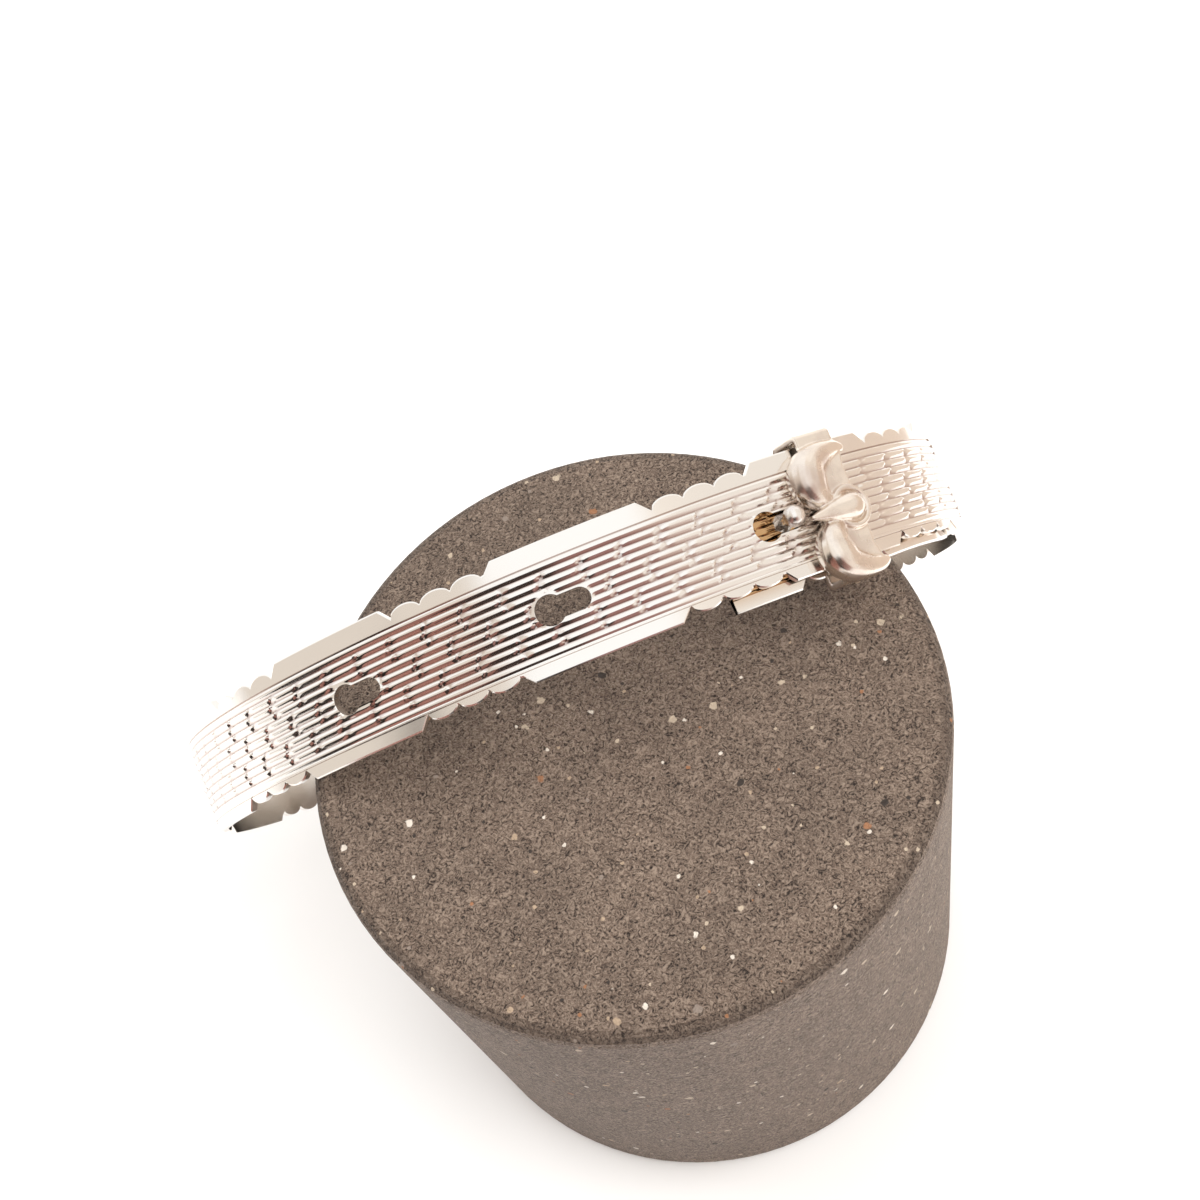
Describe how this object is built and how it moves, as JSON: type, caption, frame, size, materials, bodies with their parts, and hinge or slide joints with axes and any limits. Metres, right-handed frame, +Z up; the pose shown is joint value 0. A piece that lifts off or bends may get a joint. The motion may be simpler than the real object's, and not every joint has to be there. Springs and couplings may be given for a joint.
{
  "type": "buckle bracelet on a plain round stand",
  "caption": "Fastened oval silver buckle bracelet with scalloped edges and keyholes, leaning over a plain round speckled stone stand.",
  "frame": {"origin": "centre of the stand's base, on the surface that it stands on", "axes": "+Z up along the stand's axis; the bracelet's width runs roughly along +Y, behind the stand; +X towards the buckle"},
  "size_m": [0.0646, 0.0534, 0.0529],
  "materials": {
    "polished_silver": "polished sheet silver, rolled pattern",
    "cast_silver": "polished cast silver",
    "stud_silver": "polished silver",
    "speckled_stone": "honed brown stone with small pale and rust specks"
  },
  "bodies": {
    "root": {"band": "polished_silver", "buckle": "cast_silver", "stud": "stud_silver", "stand": "speckled_stone"}
  },
  "joints": []
}
